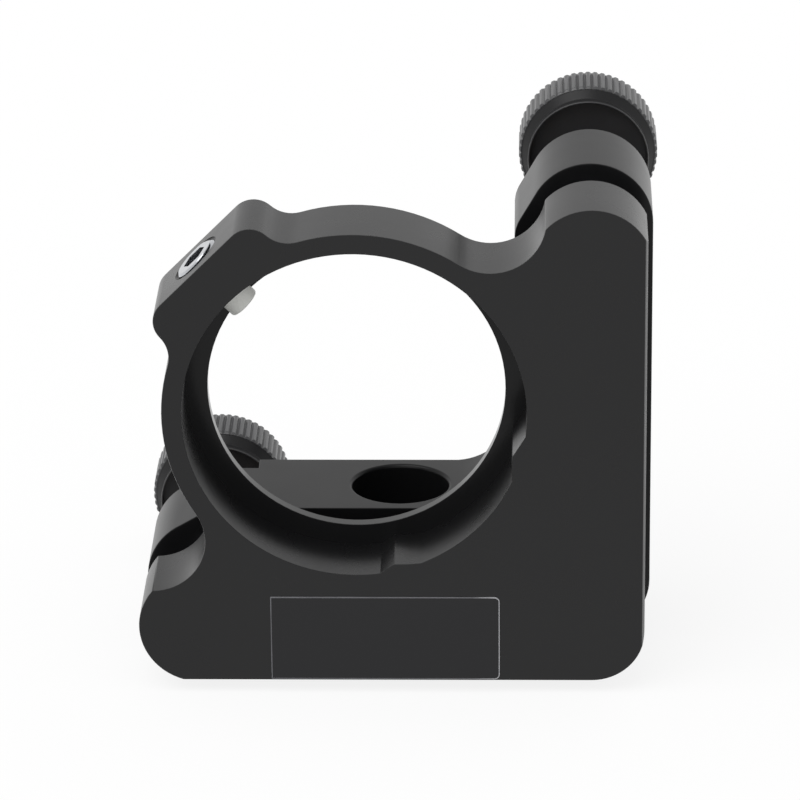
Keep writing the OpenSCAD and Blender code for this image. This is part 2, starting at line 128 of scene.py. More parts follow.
# ---------------------------------------------------------------- settings


def length_setting(name, description, size):
    """A setting for a length, whose size is given in mm."""
    return FloatProperty(
        name=name, description=description, default=size * MM, unit="LENGTH", precision=6
    )


def colour_setting(name, description, hex_colour):
    """A setting for a colour, which is given as sRGB hex."""
    return FloatVectorProperty(
        name=name, description=description, default=linear(hex_colour), size=4, subtype="COLOR"
    )


class MountSizes(bpy.types.PropertyGroup):
    """Sizes of the details that are finer than the CAD frame."""

    edge_break: length_setting("Edge break", "Width of the broken edges of the two plates", 0.1)
    pocket_break: length_setting(
        "Pocket edge break", "Width of the broken edges of the optic's pocket", 0.03
    )
    pocket_radius: length_setting("Pocket radius", "Radius of the optic's pocket", 13.45)
    spot_depth: length_setting("Spot face depth", "Depth of the spot faces behind the bosses", 1.8)
    land_distance: length_setting(
        "Land distance",
        "Distance from a boss's axis to the land that ends the arm behind its spot face",
        3.7,
    )
    fine_break: length_setting(
        "Fine edge break", "Width of the broken edges of pins, bushings, seats and screws", 0.07
    )
    knurl_break: length_setting("Knurl edge break", "Width of the worn edges of the knobs", 0.035)
    lip_break: length_setting(
        "Lip rounding", "Width of the rounded edges of the lip at the front of a knob", 0.06
    )
    thread_pitch: length_setting("Adjuster pitch", "Travel of an adjuster in one turn", 0.25)
    thread_depth: length_setting("Thread depth", "Depth of the adjusters' thread", 0.17)
    optic_radius: length_setting("Set screw radius", "Outer radius of the set screw's thread", 2.0)
    optic_pitch: length_setting("Set screw pitch", "Travel of the set screw in one turn", 0.7)
    optic_depth: length_setting("Set screw thread depth", "Depth of the set screw's thread", 0.36)
    tapped_radius: length_setting(
        "Tapped hole radius", "Inner radius of the set screw's tapped hole", 2.04
    )
    tapped_depth: length_setting(
        "Tapped thread depth", "Depth of the thread in the tapped hole", 0.3
    )
    rim_length: length_setting("Rim length", "Length of a knob's knurled rim", 4.3)
    cup_radius: length_setting("Cup radius", "Radius of the bore in a knob's nose", 4.8)
    knurl_radius: length_setting("Knurl radius", "Radius of a knob's rim inside its knurling", 5.3)
    label_border: length_setting(
        "Label border", "Width of the pale line round the blank label", 0.075
    )
    # The share of the label's length over which the border's painted highlight grows.
    label_highlight_share: FloatProperty(
        name="Lifted share",
        description="Share of the label's length over which its edge has lifted",
        default=0.12,
        subtype="FACTOR",
    )


class MountColours(bpy.types.PropertyGroup):
    """Colours of the finishes."""

    anodising: colour_setting("Black anodising", "Colour of the two plates", "#171718")
    knobs: colour_setting("Knobs", "Colour of the knurled knobs", "#1b1b1c")
    # Painted highlight: a paler colour for the knurled rims and the knobs' lips, which catch light.
    knurl_highlight: colour_setting(
        "Knurling", "Colour of the knurled rims, where handling has polished the dye", "#38383a"
    )
    # Painted light: the knobs' bores are paler than the knobs, which lifts the shade inside them.
    cup_painted_light: colour_setting(
        "Knob bores",
        "Colour of the bored insides of the knobs, where the dye takes less",
        "#2a2a2c",
    )
    label: colour_setting("Label", "Colour of the blank label film", "#151518")
    label_line: colour_setting("Label border", "Colour of the line round the label", "#7a7a7e")
    # Painted highlight: the border line turns this pale towards the label's right side.
    label_line_highlight: colour_setting(
        "Lifted label border",
        "Colour of that line at the label's right side, where the film has lifted",
        "#c8c8cc",
    )
    steel: colour_setting("Steel", "Colour of the screws, pins, seats and springs", "#c4c6ca")
    brass: colour_setting("Brass", "Colour of the threaded bushings", "#d1a95c")
    nylon: colour_setting("Nylon", "Colour of the soft tip that holds the optic", "#f2f3ee")


class MountStage(bpy.types.PropertyGroup):
    """The camera's place and the level of the light."""

    azimuth: FloatProperty(
        name="Azimuth",
        description="How far the camera stands to the right of straight ahead",
        default=math.radians(1.623),
        subtype="ANGLE",
    )
    elevation: FloatProperty(
        name="Elevation",
        description="How far the camera looks down",
        default=math.radians(22.065),
        subtype="ANGLE",
    )
    roll: FloatProperty(
        name="Roll",
        description="Turn of the camera about its own axis",
        default=math.radians(-0.555),
        subtype="ANGLE",
    )
    distance: FloatProperty(
        name="Distance",
        description="Distance of the camera from the point it looks at",
        default=387.974 * MM,
        unit="LENGTH",
    )
    aim: FloatVectorProperty(
        name="Aim",
        description="The point the camera looks at",
        default=(0.449 * MM, -15.1 * MM, 24.356 * MM),
        size=3,
        subtype="TRANSLATION",
        precision=6,
    )
    lens: FloatProperty(
        name="Lens",
        description="Focal length of the camera in millimetres",
        default=225.0,
    )
    room_level: FloatProperty(
        name="Room level",
        description="Level of the soft light from all round, where 1 is white",
        default=0.62,
    )
    side_level: FloatProperty(
        name="Side level",
        description="Level of the sides of the light tent, as polished surfaces show them",
        default=0.86,
    )
    overhead_level: FloatProperty(
        name="Overhead level",
        description="Level of the light tent overhead, as polished surfaces show it",
        default=0.6,
    )
    key_level: FloatProperty(
        name="Key level",
        description="Level of the soft light from above, as a share of white on a level surface",
        default=0.38,
    )


class MountSettings(bpy.types.PropertyGroup):
    """All settings of the mirror mount."""

    sizes: PointerProperty(type=MountSizes)
    colours: PointerProperty(type=MountColours)
    stage: PointerProperty(type=MountStage)


# ---------------------------------------------------------------- materials


def add_node(tree, kind, settings=(), **links):
    """Adds a node with its attributes and inputs set, and links outputs to its other inputs.

    A linked input goes by its name, with _ for a space, or by its number after an i.
    """
    node = tree.nodes.new(kind)
    for key, value in dict(settings).items():
        if isinstance(key, int) or key in node.inputs:
            node.inputs[key].default_value = value
        else:
            setattr(node, key, value)
    for key, source in links.items():
        place = int(key[1:]) if key.startswith("i") else key.replace("_", " ")
        tree.links.new(source, node.inputs[place])
    return node


def per_mm(size):
    """The texture scale whose features are about this many millimetres wide."""
    return 1.0 / (size * MM)


def new_material(name):
    """An empty material, with its tree and a linked principled shader."""
    material = bpy.data.materials.new(name)
    material.use_nodes = True
    tree = material.node_tree
    tree.nodes.clear()
    shader = add_node(tree, "ShaderNodeBsdfPrincipled")
    add_node(tree, "ShaderNodeOutputMaterial", Surface=shader.outputs[0])
    return material, tree, shader


def varied(tree, shader, vector, colour, spread, size, rough, rough_spread):
    """Links a colour and a roughness that drift over the surface, in patches of about size mm."""
    cloud = add_node(
        tree, "ShaderNodeTexNoise", {"Scale": per_mm(size), "Detail": 3.0}, Vector=vector
    )
    low = [c * (1 - spread) for c in colour[:3]] + [1.0]
    high = [min(1.0, c * (1 + spread)) for c in colour[:3]] + [1.0]
    tint = add_node(
        tree, "ShaderNodeMix", {"data_type": "RGBA", 6: low, 7: high}, i0=cloud.outputs[0]
    )
    tree.links.new(tint.outputs[2], shader.inputs["Base Color"])
    # The noise stays mostly between 0.3 and 0.7.
    level = add_node(
        tree,
        "ShaderNodeMapRange",
        {
            "From Min": 0.3,
            "From Max": 0.7,
            "To Min": rough - rough_spread,
            "To Max": rough + rough_spread,
        },
        Value=cloud.outputs[0],
    )
    tree.links.new(level.outputs[0], shader.inputs["Roughness"])


def bumped(tree, shader, height, depth, strength, before=None):
    """Puts a height pattern into the shader's normal; depth is its size in mm."""
    bump = add_node(
        tree, "ShaderNodeBump", {"Strength": strength, "Distance": depth * MM}, Height=height
    )
    if before:
        tree.links.new(before.outputs[0], bump.inputs["Normal"])
    tree.links.new(bump.outputs[0], shader.inputs["Normal"])
    return bump


def anodised_aluminium(name, colour, rough, ior):
    """Blasted, black-dyed anodised aluminium: a dark satin, pale only at a glancing angle."""
    material, tree, shader = new_material(name)
    shader.inputs["IOR"].default_value = ior
    place = add_node(tree, "ShaderNodeTexCoord").outputs["Object"]
    varied(tree, shader, place, colour, spread=0.12, size=5.0, rough=rough, rough_spread=0.02)
    # The end mill leaves faint lines along the depth of the plate on its sides.
    along = add_node(tree, "ShaderNodeMapping", {"Scale": (1.0, 0.02, 1.0)}, Vector=place)
    lines = add_node(
        tree, "ShaderNodeTexNoise", {"Scale": per_mm(0.25), "Detail": 2.0}, Vector=along.outputs[0]
    )
    milled = bumped(tree, shader, lines.outputs[0], depth=0.004, strength=0.5)
    # The beads leave dimples of about 0.05 mm, drawn at 0.11 mm so that they show.
    dimples = add_node(
        tree, "ShaderNodeTexNoise", {"Scale": per_mm(0.11), "Detail": 1.0}, Vector=place
    )
    bumped(tree, shader, dimples.outputs[0], depth=0.003, strength=0.5, before=milled)
    return material


def turned_anodised(name, colour, rough, ior, axis):
    """Turned, black-anodised aluminium: the lathe's fine rings give a soft sheen round the axis."""
    material, tree, shader = new_material(name)
    shader.inputs["IOR"].default_value = ior
    place = add_node(tree, "ShaderNodeTexCoord").outputs["Object"]
    varied(tree, shader, place, colour, spread=0.15, size=3.0, rough=rough, rough_spread=0.03)
    centred = add_node(
        tree, "ShaderNodeMapping", {"Location": (-axis.x, 0.0, -axis.z)}, Vector=place
    )
    # The tool's feed is about 0.1 mm a turn, drawn at 0.44 mm so that it shows. Rings lie 2 pi / 20
    # of the texture's size apart, so that its size is 1.386 mm.
    rings = add_node(
        tree,
        "ShaderNodeTexWave",
        {
            "wave_type": "RINGS",
            "rings_direction": "Y",
            "Scale": per_mm(1.386),
            "Distortion": 0.4,
        },
        Vector=centred.outputs[0],
    )
    turned = bumped(tree, shader, rings.outputs["Fac"], depth=0.002, strength=0.35)
    # The beads' dimples are drawn at 0.12 mm, about twice their size, so that they show.
    dimples = add_node(tree, "ShaderNodeTexNoise", {"Scale": per_mm(0.12)}, Vector=place)
    bumped(tree, shader, dimples.outputs[0], depth=0.002, strength=0.4, before=turned)
    return material


def turned_metal(name, colour, rough, size):
    """Turned or ground metal: tool marks of about 0.08 mm break up its mirror into a soft sheen."""
    material, tree, shader = new_material(name)
    shader.inputs["Metallic"].default_value = 1.0
    place = add_node(tree, "ShaderNodeTexCoord").outputs["Object"]
    varied(tree, shader, place, colour, spread=0.06, size=size, rough=rough, rough_spread=0.04)
    marks = add_node(
        tree, "ShaderNodeTexNoise", {"Scale": per_mm(0.08), "Detail": 2.0}, Vector=place
    )
    bumped(tree, shader, marks.outputs[0], depth=0.002, strength=0.4)
    return material


def printed_film(name, colour, rough, spread):
    """Thin printed polyester film: smooth, a little glossier than the metal under it."""
    material, tree, shader = new_material(name)
    shader.inputs["IOR"].default_value = 1.4
    place = add_node(tree, "ShaderNodeTexCoord").outputs["Object"]
    varied(tree, shader, place, colour, spread=spread, size=3.0, rough=rough, rough_spread=0.02)
    # Glue under the film leaves a ripple of 1.5 mm, which only bends its reflections.
    ripple = add_node(
        tree, "ShaderNodeTexNoise", {"Scale": per_mm(1.5), "Detail": 2.0}, Vector=place
    )
    bumped(tree, shader, ripple.outputs[0], depth=0.01, strength=0.3)
    return material


def highlighted_edge(name, colour, highlight_colour, start, end):
    """The film's pale cut edge, with a painted highlight that grows along X from start to end."""
    material = printed_film(name, colour, rough=0.4, spread=0.45)
    tree = material.node_tree
    shader = tree.nodes["Principled BSDF"]
    flat = shader.inputs["Base Color"].links[0].from_socket
    place = add_node(tree, "ShaderNodeTexCoord").outputs["Object"]
    along = add_node(tree, "ShaderNodeSeparateXYZ", Vector=place).outputs["X"]
    # The painted highlight grows along X from start to end.
    highlight_ramp = add_node(tree, "ShaderNodeMapRange", {"From Min": start, "From Max": end}, Value=along)
    either = add_node(
        tree, "ShaderNodeMix", {"data_type": "RGBA", 7: highlight_colour}, i0=highlight_ramp.outputs[0], i6=flat
    )
    tree.links.new(either.outputs[2], shader.inputs["Base Color"])
    return material


def natural_nylon(name, colour):
    """Natural nylon: milky, slightly translucent, with a waxy sheen and a painted glow."""
    material, tree, shader = new_material(name)
    shader.inputs["IOR"].default_value = 1.53
    shader.inputs["Subsurface Weight"].default_value = 0.15
    shader.inputs["Subsurface Radius"].default_value = (0.4 * MM, 0.4 * MM, 0.38 * MM)
    shader.inputs["Subsurface Scale"].default_value = 1.0
    # A painted glow: an emission in the nylon's colour stands in for light that comes through from
    # behind.
    shader.inputs["Emission Color"].default_value = colour
    shader.inputs["Emission Strength"].default_value = 0.17
    place = add_node(tree, "ShaderNodeTexCoord").outputs["Object"]
    varied(tree, shader, place, colour, spread=0.05, size=0.8, rough=0.45, rough_spread=0.04)
    return material


def any_ray(tree, *kinds):
    """One for the rays of these kinds, and nought for the others."""
    rays = add_node(tree, "ShaderNodeLightPath").outputs
    found = rays[kinds[0]]
    for kind in kinds[1:]:
        either = add_node(
            tree, "ShaderNodeMath", {"operation": "MAXIMUM"}, i0=found, i1=rays[kind]
        )
        found = either.outputs[0]
    return found


# ---------------------------------------------------------------- modelling


def deselect():
    """Leaves nothing selected and no object active."""
    if bpy.context.object and bpy.context.object.mode != "OBJECT":
        bpy.ops.object.mode_set(mode="OBJECT")
    bpy.ops.object.select_all(action="DESELECT")


def make_active(piece):
    """Selects one object alone and makes it active."""
    deselect()
    piece.select_set(True)
    bpy.context.view_layer.objects.active = piece


def apply_modifier(piece, kind, **settings):
    """Adds a modifier with its settings and applies it."""
    make_active(piece)
    modifier = piece.modifiers.new(kind.title(), kind)
    for key, value in settings.items():
        setattr(modifier, key, value)
    bpy.ops.object.modifier_apply(modifier=modifier.name)


def cad_copy(node, name, whole_faces=True):
    """A copy of a CAD node with its doubles merged and, unless told, its flat faces made whole."""
    piece = bpy.data.objects.new(name, frame["nodes"][node].data.copy())
    bpy.context.scene.collection.objects.link(piece)
    make_active(piece)
    piece.data.materials.clear()
    bpy.ops.mesh.customdata_custom_splitnormals_clear()
    bpy.ops.object.mode_set(mode="EDIT")
    bpy.ops.mesh.select_all(action="SELECT")
    bpy.ops.mesh.remove_doubles(threshold=0.002 * MM)
    if whole_faces:
        bpy.ops.mesh.dissolve_limited(angle_limit=math.radians(0.6))
    bpy.ops.mesh.select_all(action="DESELECT")
    bpy.ops.object.mode_set(mode="OBJECT")
    return piece


def break_edges(piece, width, segments=2, crease=40.0, spared=None, hollows=False):
    """Rounds the outer corners that aren't spared, and the hollow ones if asked, and smooths."""
    make_active(piece)
    bpy.ops.object.mode_set(mode="EDIT")
    bpy.ops.mesh.select_mode(type="EDGE")
    bpy.ops.mesh.select_all(action="DESELECT")
    mesh = bmesh.from_edit_mesh(piece.data)
    for edge in mesh.edges:
        turn = edge.calc_face_angle_signed() if edge.is_manifold else 0.0
        sharp = (abs(turn) if hollows else turn) > CORNER_ANGLE
        middle = (edge.verts[0].co + edge.verts[1].co) / 2
        edge.select_set(sharp and not (spared and spared(middle)))
    bmesh.update_edit_mesh(piece.data)
    bpy.ops.mesh.bevel(offset=width, segments=segments, affect="EDGES", clamp_overlap=False)
    bpy.ops.mesh.select_mode(type="VERT")
    bpy.ops.mesh.select_all(action="DESELECT")
    bpy.ops.object.mode_set(mode="OBJECT")
    smooth(piece, crease)


def smooth(piece, angle=40.0):
    """Smooth shading up to an angle, with the flat faces kept flat."""
    make_active(piece)
    bpy.ops.object.shade_smooth_by_angle(angle=math.radians(angle))
    apply_modifier(piece, "WEIGHTED_NORMAL", keep_sharp=True, weight=50)


def cut(piece, cutter):
    """Cuts one closed shape out of a piece and removes the cutter."""
    apply_modifier(piece, "BOOLEAN", object=cutter, operation="DIFFERENCE", solver="EXACT")
    deselect()
    bpy.data.objects.remove(cutter, do_unlink=True)
    make_active(piece)


def lay_along(piece, start, axis):
    """Moves a shape modelled up from the origin along Z to a start point, along an axis."""
    make_active(piece)
    turn = Vector(axis).to_track_quat("Z", "Y").to_matrix().to_4x4()
    piece.matrix_world = Matrix.Translation(start) @ turn
    bpy.ops.object.transform_apply(location=True, rotation=True, scale=True)


def thread_groove(radius, depth, pitch, length, inward=True):
    """A 60 degree groove that winds up the Z axis; its point lies inside or outside the radius."""
    # The groove's open side reaches past the surface, so that the cut is clean.
    over = 0.06 * MM
    # A three-sided circle is 1.5 times its radius high.
    size = (depth + over) / 1.5
    way = 1 if inward else -1
    deselect()
    bpy.ops.mesh.primitive_circle_add(vertices=3, radius=size, fill_type="NOTHING")
    groove = bpy.context.object
    # Stands the triangle up, with its point to the axis or away from it.
    turn = Matrix(((0, -way, 0), (0, 0, -way), (1, 0, 0))).to_4x4()
    groove.matrix_world = Matrix.Translation((radius - way * (depth - size), 0, 0)) @ turn
    bpy.ops.object.transform_apply(location=True, rotation=True, scale=True)
    apply_modifier(
        groove,
        "SCREW",
        axis="Z",
        screw_offset=pitch,
        iterations=math.ceil(length / pitch),
        steps=THREAD_STEPS,
        render_steps=THREAD_STEPS,
        use_smooth_shade=False,
    )
    bpy.ops.object.mode_set(mode="EDIT")
    bpy.ops.mesh.select_all(action="SELECT")
    bpy.ops.mesh.remove_doubles(threshold=0.001 * MM)
    bpy.ops.mesh.fill_holes(sides=3)
    bpy.ops.mesh.normals_make_consistent(inside=False)
    bpy.ops.object.mode_set(mode="OBJECT")
    return groove


def hand_over(piece, node):
    """The piece stands for the CAD node and rides on its body."""
    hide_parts(node)
    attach(piece, frame["nodes"][node]["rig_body"])


# ---------------------------------------------------------------- operators


class MountOperator(bpy.types.Operator):
    """What the mirror mount's operators share."""

    bl_options = {"REGISTER", "UNDO"}

    def finish(self, context):
        self.build(context.scene.mirror_mount)
        deselect()
        return {"FINISHED"}


class MIRROR_MOUNT_OT_plates(MountOperator):
    """Machine the two plates, break their edges and tap the hole of the set screw"""

    bl_idname = "mirror_mount.plates"
    bl_label = "Plates"

    def execute(self, context):
        return self.finish(context)

    def build(self, settings):
        self.machine_front(settings.colours.anodising, settings.sizes)
        self.machine_back(settings.colours.anodising, settings.sizes)

    def machine_front(self, colour, sizes):
        """The front plate, with its tapped hole, its optic's pocket and its broken edges."""
        front = cad_copy("front_plate", "front_plate.machined")
        front.data.materials.append(
            anodised_aluminium("anodised_front_plate", colour, rough=0.28, ior=1.395)
        )
        base, lug, _ = optic_line()
        # The tap runs from inside the pocket to past the lug's end.
        start, length = base - lug * (1.6 * MM), 5.6 * MM
        tap = thread_groove(
            sizes.tapped_radius, sizes.tapped_depth, sizes.optic_pitch, length, inward=False
        )
        tap.data.materials.append(front.data.materials[0])
        lay_along(tap, start, lug)
        cut(front, tap)

        # The thread reaches this far into its wall, and the hole this far past the screw.
        wall, inner = 0.45 * MM, 3 * MM

        def in_hole(point):
            along = (point - base).dot(lug)
            out = (point - base - lug * along).length
            return out < sizes.tapped_radius + wall and along > -inner

        mounts = {m["name"]: m for m in frame["record"]["mounts"]}
        optic = Vector(mounts["optic_pocket"]["pos_m"])

        def in_pocket(point):
            out = math.hypot(point.x - optic.x, point.z - optic.z)
            return out < sizes.pocket_radius + 10 * HAIR

        def off_outside(point):
            return in_hole(point) or in_pocket(point)

        def off_pocket(point):
            return in_hole(point) or not in_pocket(point)

        # The pads' ramps stay apart from their lands, so that they look dark beside them.
        crease = 25.0
        break_edges(front, sizes.edge_break, crease=crease, spared=off_outside)
        # The pocket's edge is left nearly sharp, so that no pale line runs round it.
        break_edges(front, sizes.pocket_break, crease=crease, spared=off_pocket)
        # The shoulder's floor gets a duller copy of the anodising as painted shade, so that it
        # looks deeper, and its bore a smoother, shinier copy.
        front.data.materials.append(
            anodised_aluminium("pocket_floor_painted_shade", colour, rough=0.2, ior=1.3)
        )
        front.data.materials.append(
            anodised_aluminium("anodised_aperture", colour, rough=0.1, ior=1.45)
        )
        rear = max(v.co.y for v in front.data.vertices)
        shoulder = 1.5 * MM
        floor, aperture = 1, 2
        for face in front.data.polygons:
            if not in_pocket(face.center) or face.center.y < rear - shoulder:
                continue
            if face.normal.y < -0.95:
                face.material_index = floor
            elif abs(face.normal.y) < 0.05:
                face.material_index = aperture
        hand_over(front, "front_plate")

    def machine_back(self, colour, sizes):
        """The back plate, with the ends of its arms cut square and its edges broken."""
        back = cad_copy("back_plate", "back_plate.machined")
        # A duller copy of the front plate's anodising, with a lower IOR: painted shade that darkens
        # the back plate.
        back.data.materials.append(
            anodised_aluminium("anodised_back_plate_painted_shade", colour, rough=0.3, ior=1.3)
        )
        # A spot face runs off the arm in a feather edge at either side, which is cut square.
        for node, way in (("upper_knob", Vector((0, 0, 1))), ("lower_knob", Vector((-1, 0, 0)))):
            cut(back, self.end_block(node, way, back, sizes))
        break_edges(back, sizes.edge_break)
        hand_over(back, "back_plate")

    def end_block(self, node, way, back, sizes):
        """A block behind the spot face of a knob's boss, from the land to past the arm's end."""
        reach, across, depth = 12 * MM, 16 * MM, 3 * MM
        middle = centre(node) + way * (reach / 2 - sizes.land_distance)
        middle.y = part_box("back_plate")[1].y - sizes.spot_depth + depth / 2
        size = [reach if abs(part) > 0.5 else across for part in way]
        bpy.ops.mesh.primitive_cube_add(size=1.0, location=middle, scale=(size[0], depth, size[2]))
        bpy.ops.object.transform_apply(location=True, rotation=True, scale=True)
        block = bpy.context.object
        block.data.materials.append(back.data.materials[0])
        return block


class MIRROR_MOUNT_OT_label(MountOperator):
    """Lay the blank label with its pale border on the front plate"""

    bl_idname = "mirror_mount.label"
    bl_label = "Label"

    def execute(self, context):
        return self.finish(context)

    def build(self, settings):
        colours, sizes = settings.colours, settings.sizes
        film, line = 0, 1
        piece = cad_copy("label", "label.film")
        piece.data.materials.append(
            printed_film("label_film", colours.label, rough=0.2, spread=0.05)
        )
        low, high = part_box("label")
        highlight_from = high.x - (high.x - low.x) * sizes.label_highlight_share
        piece.data.materials.append(
            highlighted_edge("label_line", colours.label_line, colours.label_line_highlight, highlight_from, high.x)
        )
        make_active(piece)
        for face in piece.data.polygons:
            face.material_index = line
            face.select = face.normal.y < -0.9 and abs(face.center.y - low.y) < HAIR
        bpy.ops.object.mode_set(mode="EDIT")
        bpy.ops.mesh.inset(thickness=sizes.label_border, depth=0)
        bpy.ops.object.mode_set(mode="OBJECT")
        for face in piece.data.polygons:
            if face.select:
                face.material_index = film
        hand_over(piece, "label")


class MIRROR_MOUNT_OT_knobs(MountOperator):
    """Turn and knurl the two knobs"""

    bl_idname = "mirror_mount.knobs"
    bl_label = "Knobs"

    def execute(self, context):
        return self.finish(context)

    def build(self, settings):
        colours, sizes = settings.colours, settings.sizes
        body, bore, worn = 0, 1, 2
        for node in ("upper_knob", "lower_knob"):
            axis = centre(node)
            piece = cad_copy(node, node + ".knurled", whole_faces=False)
            for name, colour, rough, ior in (
                ("anodised_" + node, colours.knobs, 0.32, 1.33),
                # The bore's paler colour is painted light that lifts the shade inside it.
                ("bored_" + node, colours.cup_painted_light, 0.4, 1.35),
                # The knurled rim and the lip get a paler, shinier copy of the anodising: a painted
                # highlight.
                ("knurled_" + node, colours.knurl_highlight, 0.3, 1.6),
            ):
                piece.data.materials.append(turned_anodised(name, colour, rough, ior, axis))
            nose, rear = (limit(v.co.y for v in piece.data.vertices) for limit in (min, max))
            rim_front = rear - sizes.rim_length

            def off_knurl(point):
                return abs(point.y - rim_front) < 2 * HAIR or point.y < nose + HAIR

            def off_lip(point):
                return point.y > nose + HAIR

            break_edges(piece, sizes.lip_break, segments=3, spared=off_lip)
            break_edges(piece, sizes.knurl_break, spared=off_knurl, hollows=True)
            for face in piece.data.polygons:
                out = math.hypot(face.center.x - axis.x, face.center.z - axis.z)
                inside = out < sizes.cup_radius + 2 * HAIR and face.center.y < rear - MM
                knurled = out > sizes.knurl_radius and face.center.y > rim_front - HAIR
                on_lip = face.center.y < nose + 0.1 * MM and out > sizes.cup_radius - HAIR
                # Faces on the lip and the knurled rim take the painted highlight, faces in the bore
                # the painted light.
                face.material_index = worn if on_lip or knurled else bore if inside else body
            hand_over(piece, node)


class MIRROR_MOUNT_OT_steel_parts(MountOperator):
    """Grind the seats, pins and balls"""

    bl_idname = "mirror_mount.steel_parts"
    bl_label = "Seats, pins and balls"

    def execute(self, context):
        return self.finish(context)

    def build(self, settings):
        steel = settings.colours.steel
        ground = turned_metal("ground_steel", steel, rough=0.28, size=1.5)
        polished = turned_metal("polished_steel", steel, rough=0.1, size=2.0)
        parts = {
            "hardened_steel": ["upper_seat", "lower_seat", "front_pivot_seat", "back_pivot_seat"],
            "pin_steel": ["upper_front_pin", "lower_front_pin", "upper_back_pin", "lower_back_pin"],
            "ball_steel": ["pivot_ball", "upper_ball", "lower_ball"],
        }
        for slot, nodes in parts.items():
            for node in nodes:
                piece = cad_copy(node, node + ".ground")
                piece.data.materials.append(polished if slot == "ball_steel" else ground)
                if slot == "ball_steel":
                    smooth(piece)
                else:
                    break_edges(piece, settings.sizes.fine_break)
                    # Its many-sided faces are split evenly, so that no two splits share an edge.
                    apply_modifier(
                        piece,
                        "TRIANGULATE",
                        ngon_method="BEAUTY",
                        min_vertices=5,
                        keep_custom_normals=True,
                    )
                hand_over(piece, node)


class MIRROR_MOUNT_OT_screws(MountOperator):
    """Cut the threads of the two adjusters and of the set screw"""

    bl_idname = "mirror_mount.screws"
    bl_label = "Screws"

    def execute(self, context):
        return self.finish(context)

    def build(self, settings):
        sizes = settings.sizes
        steel = turned_metal("stainless_steel", settings.colours.steel, rough=0.22, size=1.5)
        for node in ("upper_screw", "lower_screw"):
            low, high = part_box(node)
            radius = (high.x - low.x) / 2
            start = centre(node)
            start.y = low.y - sizes.thread_pitch
            # The thread stops inside the knob's web, short of the screw's rear end.
            plain = 1.2 * MM
            groove = thread_groove(
                radius, sizes.thread_depth, sizes.thread_pitch, high.y - plain - start.y
            )
            self.thread(node, steel, groove, start, (0, 1, 0))
        base, lug, length = optic_line()
        pitch = sizes.optic_pitch
        groove = thread_groove(sizes.optic_radius, sizes.optic_depth, pitch, length + 2 * pitch)
        self.thread("optic_screw", steel, groove, base - lug * pitch, lug)

    def thread(self, node, steel, groove, start, axis):
        """A copy of a screw with a helical groove cut along it."""
        piece = cad_copy(node, node + ".threaded")
        piece.data.materials.append(steel)
        groove.data.materials.append(steel)
        lay_along(groove, start, axis)
        cut(piece, groove)
        smooth(piece, angle=30.0)
        hand_over(piece, node)


class MIRROR_MOUNT_OT_bushings(MountOperator):
    """Turn the two brass bushings"""

    bl_idname = "mirror_mount.bushings"
    bl_label = "Bushings"

    def execute(self, context):
        return self.finish(context)

    def build(self, settings):
        brass = turned_metal("turned_brass", settings.colours.brass, rough=0.25, size=2.0)
        for node in ("upper_bushing", "lower_bushing"):
            piece = cad_copy(node, node + ".turned")
            piece.data.materials.append(brass)
            break_edges(piece, settings.sizes.fine_break)
            hand_over(piece, node)


class MIRROR_MOUNT_OT_springs(MountOperator):
    """Wind the two extension springs"""

    bl_idname = "mirror_mount.springs"
    bl_label = "Springs"

    def execute(self, context):
        return self.finish(context)

    def build(self, settings):
        wire = turned_metal("spring_wire", settings.colours.steel, rough=0.2, size=0.6)
        for node, rear, front in SPRING_ENDS:
            piece = cad_copy(node, node + ".wound")
            piece.data.materials.append(wire)
            bpy.ops.object.mode_set(mode="EDIT")
            bpy.ops.mesh.select_all(action="SELECT")
            bpy.ops.mesh.tris_convert_to_quads()
            bpy.ops.object.mode_set(mode="OBJECT")
            apply_modifier(piece, "SUBSURF", levels=1, render_levels=1)
            smooth(piece, angle=60.0)
            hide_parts(node)
            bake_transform(piece)


class MIRROR_MOUNT_OT_nylon_tip(MountOperator):
    """Mould the nylon tip of the set screw"""

    bl_idname = "mirror_mount.nylon_tip"
    bl_label = "Nylon tip"

    def execute(self, context):
        return self.finish(context)

    def build(self, settings):
        piece = cad_copy("optic_tip", "optic_tip.moulded")
        piece.data.materials.append(natural_nylon("natural_nylon", settings.colours.nylon))
        break_edges(piece, settings.sizes.fine_break)
        hand_over(piece, "optic_tip")


